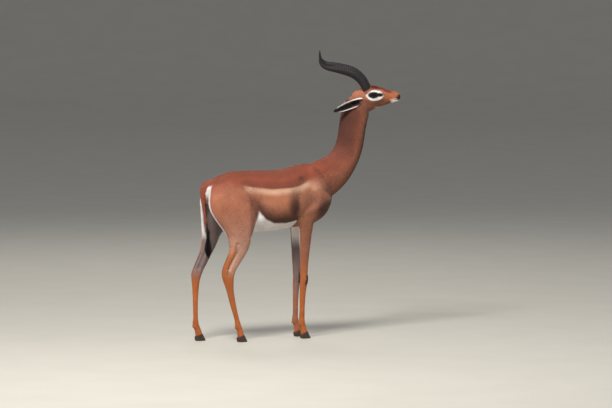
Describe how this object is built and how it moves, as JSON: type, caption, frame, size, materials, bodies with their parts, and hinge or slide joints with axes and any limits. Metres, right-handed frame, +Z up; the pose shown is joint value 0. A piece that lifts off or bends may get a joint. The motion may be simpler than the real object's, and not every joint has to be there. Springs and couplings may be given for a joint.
{
  "type": "gerenuk",
  "caption": "Life-size still model of a standing male gerenuk: long neck, ringed S-shaped horns, slender legs and tufted tail, parted by body part.",
  "frame": {"origin": "on the floor under the middle of the bounding box", "axes": "+Z up, +X towards the chest, +Y to the animal's left"},
  "size_m": [1.1532, 0.2841, 1.5561],
  "materials": {
    "coat_red": "short reddish brown coat",
    "coat_tan": "short tan coat",
    "ear": "short hair, dark inside, white fringe",
    "eye": "wet dark brown",
    "horn": "dark ringed horn",
    "hoof": "dark horn",
    "black_hair": "long black hair"
  },
  "bodies": {
    "root": {"torso": "coat_red", "neck": "coat_red", "head": "coat_red", "foreleg_left": "coat_tan", "foreleg_right": "coat_tan", "hindleg_left": "coat_tan", "hindleg_right": "coat_tan", "ear_left": "ear", "ear_right": "ear", "eye_left": "eye", "eye_right": "eye", "horn_left": "horn", "horn_right": "horn", "hoof_fore_left_inner": "hoof", "hoof_fore_left_outer": "hoof", "hoof_fore_right_inner": "hoof", "hoof_fore_right_outer": "hoof", "hoof_hind_left_inner": "hoof", "hoof_hind_left_outer": "hoof", "hoof_hind_right_inner": "hoof", "hoof_hind_right_outer": "hoof", "tail": "coat_red", "tail_tuft": "black_hair"}
  },
  "joints": []
}
